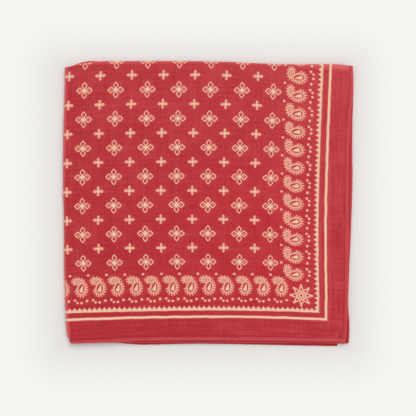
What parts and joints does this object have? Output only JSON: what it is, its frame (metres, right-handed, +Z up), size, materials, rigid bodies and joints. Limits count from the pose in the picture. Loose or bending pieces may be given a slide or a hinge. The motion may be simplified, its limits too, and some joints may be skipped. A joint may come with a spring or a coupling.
{
  "type": "folded bandana",
  "caption": "Square cotton voile bandana with hemmed edges, folded in quarters and lying flat, its layers fanned out a little at the open sides.",
  "frame": {"origin": "centre of the folded cloth's footprint, on the surface it lies on", "axes": "+Z up out of the surface, +Y to the first fold, -X to the second fold, where all layers roll round"},
  "size_m": [0.2868, 0.2822, 0.0058],
  "materials": {
    "printed_voile": "matte red cotton voile with a cream discharge print",
    "inner_voile": "matte wrong side of the same voile, the print showing through faintly",
    "hem_voile": "matte red voile, turned twice and stitched"
  },
  "bodies": {
    "root": {"top_quarter": "printed_voile", "bottom_quarter": "printed_voile", "hidden_layers": "inner_voile", "top_hem_right": "hem_voile", "top_hem_bottom": "hem_voile", "second_hem_right": "hem_voile", "second_hem_bottom": "hem_voile", "third_hem_right": "hem_voile", "third_hem_bottom": "hem_voile", "bottom_hem_right": "hem_voile", "bottom_hem_bottom": "hem_voile"}
  },
  "joints": []
}
